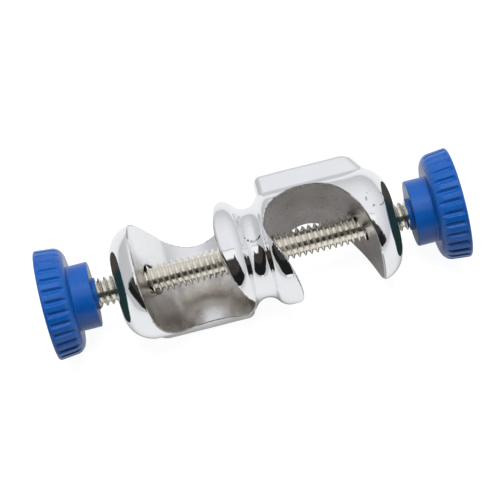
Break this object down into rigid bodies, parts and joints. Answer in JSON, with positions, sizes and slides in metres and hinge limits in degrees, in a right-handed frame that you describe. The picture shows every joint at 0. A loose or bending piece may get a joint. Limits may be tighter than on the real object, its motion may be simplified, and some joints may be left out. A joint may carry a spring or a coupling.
{
  "type": "boss head clamp",
  "caption": "Die-cast clamp holder that joins two laboratory rods at right angles: two C-shaped jaws, each closed by a thumbscrew with a fluted plastic knob.",
  "frame": {"origin": "centre of the flat back of the left jaw, the face that the clamp rests on", "axes": "+X along the screws' common axis towards the right knob, +Z out of the left jaw's mouth, -Y out of the right jaw's mouth"},
  "size_m": [0.0871, 0.0252, 0.0253],
  "materials": {
    "casting": "polished",
    "screws": "bright",
    "knobs": "semi-gloss"
  },
  "bodies": {
    "casting": {"casting": "casting"},
    "left_rod": {"left_screw": "screws"},
    "left_grip": {"left_knob": "knobs"},
    "right_rod": {"right_screw": "screws"},
    "right_grip": {"right_knob": "knobs"}
  },
  "joints": [
    {"name": "left_travel", "type": "slide", "parent": "casting", "child": "left_rod", "axis": [1, 0, 0], "range_m": [-0.01652, 0.00128]},
    {"name": "left_turn", "type": "hinge", "parent": "left_rod", "child": "left_grip", "pos_m": [-0.02077, 0, 0.0132], "axis": [1, 0, 0], "range_deg": [-4680, 360]},
    {"name": "right_travel", "type": "slide", "parent": "casting", "child": "right_rod", "axis": [-1, 0, 0], "range_m": [-0.01779, 0.00017]},
    {"name": "right_turn", "type": "hinge", "parent": "right_rod", "child": "right_grip", "pos_m": [0.04613, 0, 0.0132], "axis": [-1, 0, 0], "range_deg": [-5040, 45]}
  ],
  "couplings": [
    {"joint": "left_travel", "follows": "left_turn", "m_per_rad": 0.00020213},
    {"joint": "right_travel", "follows": "right_turn", "m_per_rad": 0.00020213}
  ]
}
